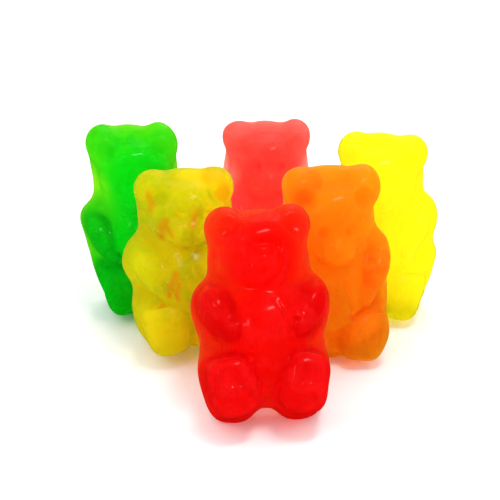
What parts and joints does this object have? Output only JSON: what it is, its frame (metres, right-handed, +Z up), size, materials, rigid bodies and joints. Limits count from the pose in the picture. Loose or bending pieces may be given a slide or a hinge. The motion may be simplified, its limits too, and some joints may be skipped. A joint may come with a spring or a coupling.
{
  "type": "gummy bears",
  "caption": "Loose group of small moulded gummy bears in fruit colours, standing close together on flat soles, the front one leaning back.",
  "frame": {"origin": "on the surface the bears stand on, under the middle of the group's bounding box", "axes": "+Z up, -Y the way the bears face, +X to the viewer's right when looking at their faces"},
  "size_m": [0.0394, 0.038, 0.0208],
  "materials": {
    "red_jelly": "soft translucent jelly with a wet-looking skin",
    "yellow_green_jelly": "soft translucent jelly with amber streaks inside",
    "orange_jelly": "soft translucent jelly with a wet-looking skin",
    "green_jelly": "soft translucent jelly with a wet-looking skin",
    "pink_jelly": "soft translucent jelly, paler at thin edges",
    "yellow_jelly": "soft translucent jelly with a wet-looking skin"
  },
  "bodies": {
    "root": {"red_bear": "red_jelly", "yellow_green_bear": "yellow_green_jelly", "orange_bear": "orange_jelly", "green_bear": "green_jelly", "pink_bear": "pink_jelly", "yellow_bear": "yellow_jelly"}
  },
  "joints": []
}
